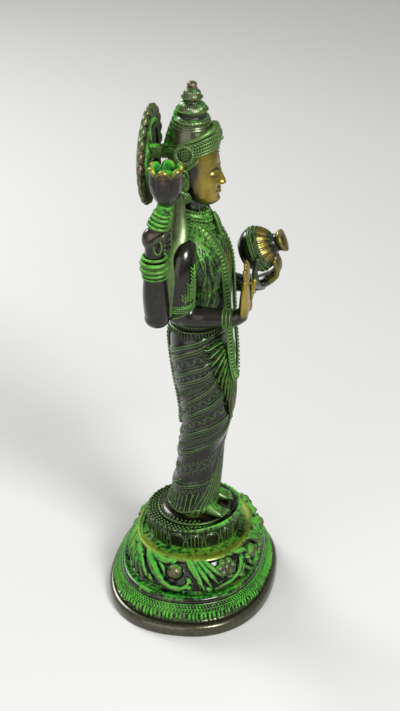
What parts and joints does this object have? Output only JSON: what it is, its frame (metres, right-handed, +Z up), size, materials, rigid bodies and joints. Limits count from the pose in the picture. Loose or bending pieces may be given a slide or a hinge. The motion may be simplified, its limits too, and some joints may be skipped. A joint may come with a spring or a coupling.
{
  "type": "four-armed deity figure",
  "caption": "Standing four-armed Dhanvantari figure with raised hand, tipped pot, lotus buds, tiered crown and round halo, on an oval plinth with a petalled seat and leaf scrolls.",
  "frame": {"origin": "middle of the plinth's underside", "axes": "+Z up, -Y the way the figure faces, -X the figure's right side"},
  "size_m": [0.141, 0.111, 0.35],
  "materials": {
    "green_bronze": "cast brass with a dark bronze ground, green patina in the hollows and rubbed ridges",
    "dark_bronze": "cast brass with a dark bronze ground, green patina in the hollows and polished face and hands"
  },
  "bodies": {
    "root": {"plinth": "green_bronze", "figure": "dark_bronze"}
  },
  "joints": []
}
